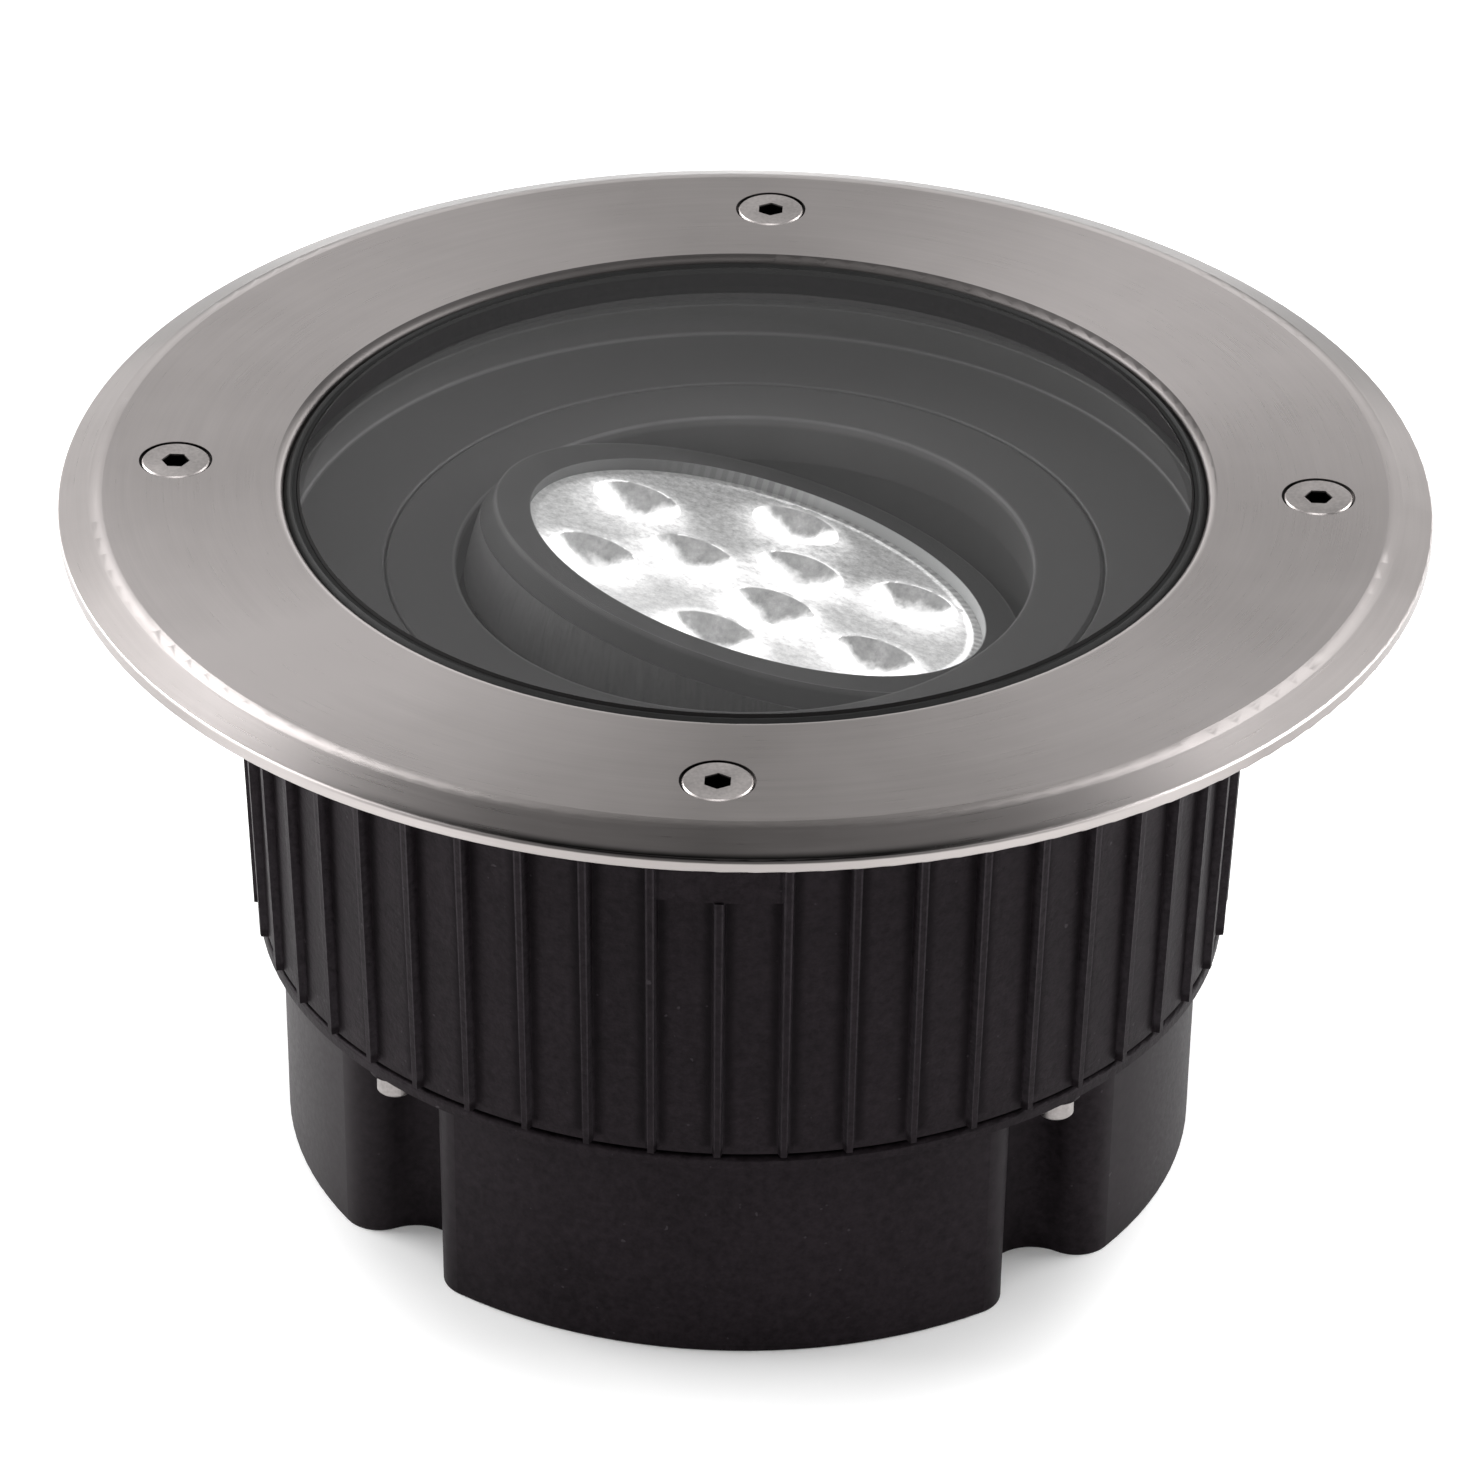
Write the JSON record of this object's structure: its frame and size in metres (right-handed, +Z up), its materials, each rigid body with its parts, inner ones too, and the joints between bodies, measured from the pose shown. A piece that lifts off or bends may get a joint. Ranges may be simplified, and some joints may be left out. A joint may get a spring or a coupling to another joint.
{
  "type": "in-ground light",
  "caption": "Round recessed ground light: steel trim over clear glass, ribbed black housing on a lobed base, and a lamp head inside that pans and tilts.",
  "frame": {"origin": "middle of the base cover's underside, on the ground", "axes": "+Z up through the glass, +Y towards the lobe with the cable gland"},
  "size_m": [0.22, 0.22, 0.118],
  "materials": {
    "trim_steel": "brushed stainless, satin",
    "screw_steel": "stainless, satin",
    "black_casting": "matt black powder coat, fine grain",
    "baffle_grey": "matt dark grey",
    "head_grey": "matt dark grey paint",
    "glass": "clear toughened",
    "seal_black": "matt black silicone",
    "lens_clear": "clear acrylic",
    "led": "lit",
    "board_white": "white solder mask",
    "bare_aluminium": "as extruded",
    "zinc_sheet": "galvanised sheet",
    "supply_plastic": "moulded, light grey",
    "gland_plastic": "moulded polyamide, black",
    "pivot_plastic": "moulded, natural"
  },
  "bodies": {
    "root": {"base_cover": "black_casting", "base_gasket": "seal_black", "base_screws": "screw_steel", "ribbed_housing": "black_casting", "trim_ring": "trim_steel", "trim_screws": "screw_steel", "glass": "glass", "glass_seal": "seal_black", "baffle_ring": "baffle_grey", "baffle_screws": "screw_steel", "supply_bracket": "zinc_sheet", "bracket_screws": "screw_steel", "supply_unit": "supply_plastic", "terminal_block": "supply_plastic", "gland_washer": "seal_black", "gland_body": "gland_plastic", "gland_locknut": "gland_plastic", "gland_nut": "gland_plastic", "gland_seal": "seal_black"},
    "pan": {"pan_ring": "baffle_grey", "retaining_clip": "screw_steel"},
    "head": {"pivot_washers": "pivot_plastic", "pivot_screws": "screw_steel", "head_cup": "head_grey", "bezel_ring": "baffle_grey", "lens_plate": "lens_clear", "led_board": "board_white", "led_chips": "led", "board_screws": "screw_steel", "heat_sink": "bare_aluminium", "heat_sink_screws": "screw_steel"}
  },
  "joints": [
    {"name": "pan", "type": "hinge", "parent": "root", "child": "pan", "pos_m": [0, 0, 0.08951], "axis": [0, 0, 1], "range_deg": [-175, 175]},
    {"name": "tilt", "type": "hinge", "parent": "pan", "child": "head", "pos_m": [0, 0, 0.08951], "axis": [-0.5, 0.866, 0], "range_deg": [-35, 0]}
  ]
}
